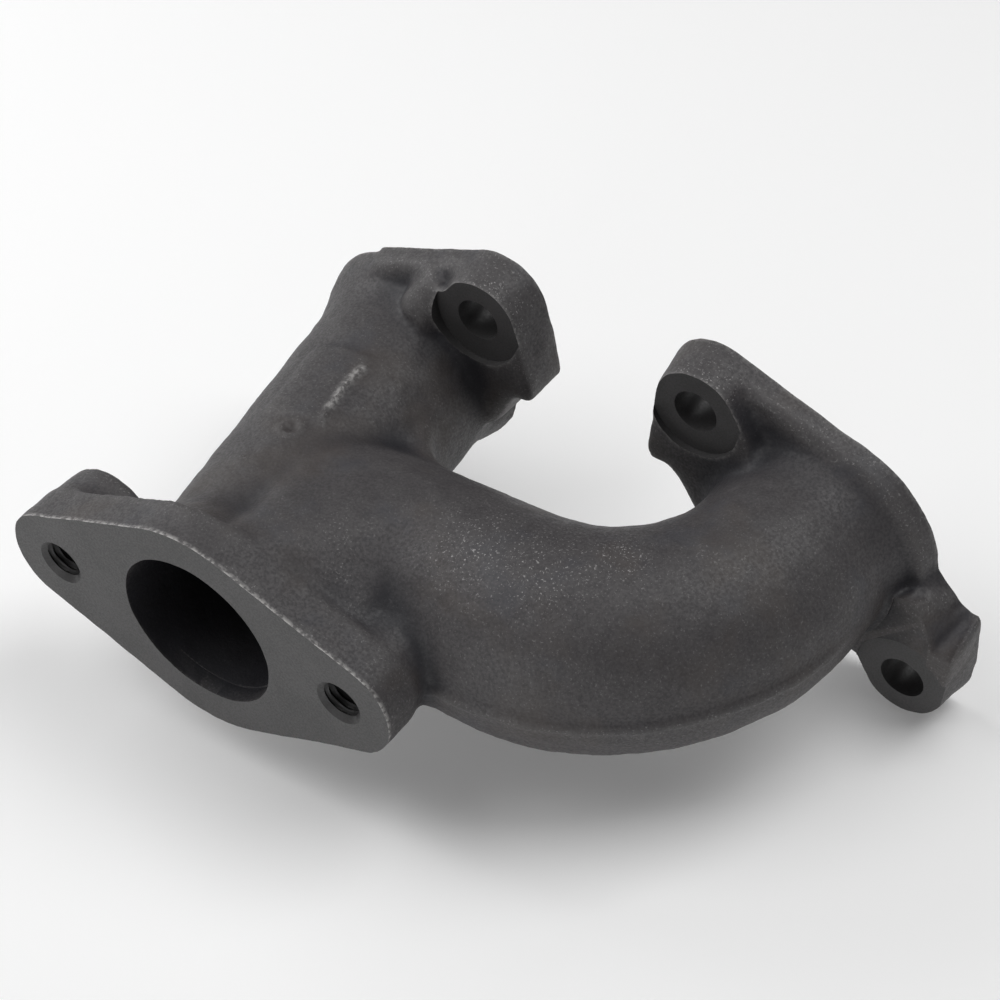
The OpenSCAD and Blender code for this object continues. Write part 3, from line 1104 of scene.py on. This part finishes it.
def cast_iron():
    material, tree, coords, shader = start_material("cast_iron")
    sand = grain(tree, coords, 1500, 4)
    colour = blend(tree, between(tree, sand, 0.35, 0.65), SKIN_DARK, SKIN_LIGHT)
    brown = between(tree, grain(tree, coords, 45, 3), 0.50, 0.68, 0, 0.55)
    colour = blend(tree, brown, colour, BROWN)
    blue = between(tree, grain(tree, coords, 70, 3), 0.55, 0.72, 0, 0.5)
    colour = blend(tree, blue, colour, BLUE_GREY)
    # Whatever stands proud is lighter: worn by handling, and a painted highlight on rims and corners.
    colour = blend(tree, times(tree, attribute(tree, "proud"), 0.35), colour, WORN_LIT_SKIN)
    # Painted shade, darkest deep in the hollows.
    colour = blend(tree, times(tree, attribute(tree, "hollow"), 0.85), colour, HOLLOW_SHADE)
    # Bright flecks: painted glints of light on the grain, with some grain worn bright. They are strongest
    # at the glint spots and on what stands proud, and faint everywhere else.
    glint_flecks = between(tree, grain(tree, coords, 2000, 3, 0.65), 0.58, 0.70)
    edges = times(tree, attribute(tree, "proud"), 0.4)
    glints_and_rub = add(tree, "Math", (0, edges), (1, attribute(tree, "glints_and_rub")), operation="ADD").outputs[0]
    glints_and_rub = add(tree, "Math", (0, glints_and_rub), (1, 0.06), operation="ADD").outputs[0]
    colour = blend(tree, times(tree, glint_flecks, glints_and_rub), colour, GLINT_FLECK)
    # Bright bare metal at the machined edges: real wear, and a painted highlight along them.
    chipped = between(tree, grain(tree, coords, 900, 3), 0.40, 0.60, 0.15, 1.0)
    bare_and_lit = times(tree, attribute(tree, "edge_wear_and_highlight"), chipped)
    colour = blend(tree, bare_and_lit, colour, BARE_AND_LIT)
    # Painted shade deep in the holes and passages, with soot in the gas passages.
    colour = blend(tree, attribute(tree, "shade_and_soot"), colour, SHADE_AND_SOOT_BLACK)
    tree.links.new(colour, shader.inputs["Base Color"])
    tree.links.new(between(tree, sand, 0.3, 0.7, 0.66, 0.50), shader.inputs["Roughness"])
    coarse = add(
        tree, "Bump", ("Height", grain(tree, coords, 700, 5, 0.7)), ("Strength", 0.45),
        ("Distance", 0.25 * MM)).outputs["Normal"]
    fine = add(
        tree, "Bump", ("Height", sand), ("Strength", 0.35), ("Distance", 0.08 * MM),
        ("Normal", coarse)).outputs["Normal"]
    tree.links.new(fine, shader.inputs["Normal"])
    shader.inputs["Specular IOR Level"].default_value = 0.5
    return material


iron = cast_iron()
print("cast iron:", len(iron.node_tree.nodes), "nodes")

# %% [markdown]
# ## Machined iron
# The mill leaves a smoother and lighter face, with faint curved marks from the turning cutter, and the
# graphite in grey iron keeps it dull. The Wave texture in rings draws the marks from a centre far off
# the part, as a wide face mill does.

# %% Milled and drilled faces
MILL_DARK = (0.036, 0.035, 0.035)
MILL_LIGHT = (0.050, 0.048, 0.049)


def machined_iron():
    material, tree, coords, shader = start_material("machined_iron")
    haze = grain(tree, coords, 110, 4)
    speck = grain(tree, coords, 2200, 3)
    tone = add(tree, "Math", (0, haze), (1, speck), operation="ADD").outputs[0]
    colour = blend(tree, between(tree, tone, 0.75, 1.25), MILL_DARK, MILL_LIGHT)
    # Painted shade deep in the holes and passages, with soot in the gas passages.
    colour = blend(tree, attribute(tree, "shade_and_soot"), colour, SHADE_AND_SOOT_BLACK)
    tree.links.new(colour, shader.inputs["Base Color"])
    moved = add(tree, "Mapping", ("Vector", coords), ("Location", (0.09, 0, 0.14))).outputs["Vector"]
    rings = add(
        tree, "TexWave", ("Vector", moved), ("Scale", 260), ("Distortion", 2.0), ("Detail", 2.0),
        wave_type="RINGS", rings_direction="Y").outputs["Fac"]
    tree.links.new(between(tree, speck, 0.3, 0.7, 0.55, 0.40), shader.inputs["Roughness"])
    marks = add(
        tree, "Bump", ("Height", rings), ("Strength", 0.12), ("Distance", 0.03 * MM)).outputs["Normal"]
    fine = add(
        tree, "Bump", ("Height", speck), ("Strength", 0.2), ("Distance", 0.04 * MM),
        ("Normal", marks)).outputs["Normal"]
    tree.links.new(fine, shader.inputs["Normal"])
    return material


milled = machined_iron()
print("machined iron:", len(milled.node_tree.nodes), "nodes")

# %% [markdown]
# ## Hand over the pieces
# Each piece rides on the one body, stands for its nodes of the design, and names its finish. The pad,
# the web and the rib have grown into their neighbours' skin, so the neighbour stands for them too.

GROWN_IN = {
    "front_runner": ["runner_pad"], "collector": ["crotch_web"], "rear_elbow": ["elbow_parting_rib"]}
for name, piece in pieces.items():
    piece.data.materials.append(iron)
    piece.data.materials.append(milled)
    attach(piece, "root")
    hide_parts(name, *GROWN_IN.get(name, []))
print(len(pieces), "pieces stand for", len(frame["nodes"]), "nodes")

# %% [markdown]
# ## Floor, light and camera
# A bare casting is dark, so it is shown on a white floor. The floor throws light up at the undersides.
# Two wide lamps above do most of the work. One behind on the left draws a bright rim, and one low in
# front lights the pipe flange's face. The world is dim, so that pockets and holes stay dark.

# %% Floor
def floor_material():
    material = bpy.data.materials.new("white_floor")
    material.use_nodes = True
    shader = material.node_tree.nodes["Principled BSDF"]
    shader.inputs["Base Color"].default_value = (0.86, 0.86, 0.86, 1)
    shader.inputs["Roughness"].default_value = 0.9
    shader.inputs["Specular IOR Level"].default_value = 0.0
    shader.inputs["Emission Color"].default_value = (1, 1, 1, 1)
    shader.inputs["Emission Strength"].default_value = 0.12
    return material


let_go()
bpy.ops.mesh.primitive_plane_add(size=6, location=(0, 0, cad_low.z))
floor = settle(bpy.context.object)
floor.name = "floor"
floor.data.materials.append(floor_material())
print("floor at", round(cad_low.z / MM, 1), "mm")

# %% Light
LIT_POINT = Vector((0.05, -0.045, 0))   # what the lamps aim at, near the middle of the part
LAMP_DISTANCE = 0.8
WORLD_STRENGTH = 0.12


def lamp(name, turn, height, size, energy):
    """A square soft lamp aimed at the part. Turn is measured from +X toward +Y, and height up from
    the floor, both in degrees."""
    turn, height = math.radians(turn), math.radians(height)
    level = math.cos(height)
    away = Vector((math.cos(turn) * level, math.sin(turn) * level, math.sin(height)))
    let_go()
    bpy.ops.object.light_add(type="AREA", location=LIT_POINT + away * LAMP_DISTANCE)
    light = bpy.context.object
    light.name = name
    light.data.size = size
    light.data.energy = energy
    light.rotation_euler = away.to_track_quat("Z", "Y").to_euler()


lamp("high_right", 40, 60, 0.5, 3.35)
lamp("high_left", 220, 60, 0.5, 2.0)
lamp("back_left", 175, 30, 0.5, 2.5)
lamp("low_front", 265, 4, 0.3, 1.7)
world = bpy.data.worlds.new("studio")
bpy.context.scene.world = world
world.use_nodes = True
background = world.node_tree.nodes["Background"]
background.inputs["Color"].default_value = (1, 1, 1, 1)
background.inputs["Strength"].default_value = WORLD_STRENGTH
bpy.context.scene.view_settings.view_transform = "Standard"
print("four lamps and a dim world")

# %% Camera
VIEW_AZIMUTH = math.radians(40.41)      # to the right of looking along +Y
VIEW_ELEVATION = math.radians(44.90)    # looking down
VIEW_ROLL = math.radians(-6.64)
VIEW_TARGET = Vector((0.0426, -0.0303, -0.0017))
VIEW_DISTANCE = 0.655
VIEW_LENS = 109                         # millimetres

direction = Vector((
    -math.sin(VIEW_AZIMUTH) * math.cos(VIEW_ELEVATION),
    math.cos(VIEW_AZIMUTH) * math.cos(VIEW_ELEVATION), -math.sin(VIEW_ELEVATION)))
let_go()
bpy.ops.object.camera_add()
camera = bpy.context.object
camera.data.lens = VIEW_LENS
camera.location = VIEW_TARGET - direction * VIEW_DISTANCE
aim = direction.to_track_quat("-Z", "Y").to_matrix() @ Matrix.Rotation(VIEW_ROLL, 3, "Z")
camera.rotation_euler = aim.to_euler()
bpy.context.scene.camera = camera
print("camera at", [round(v, 3) for v in camera.location])

# %% Print the design's box
print("cad", [round(v / MM, 1) for v in (*cad_low, *cad_high)])
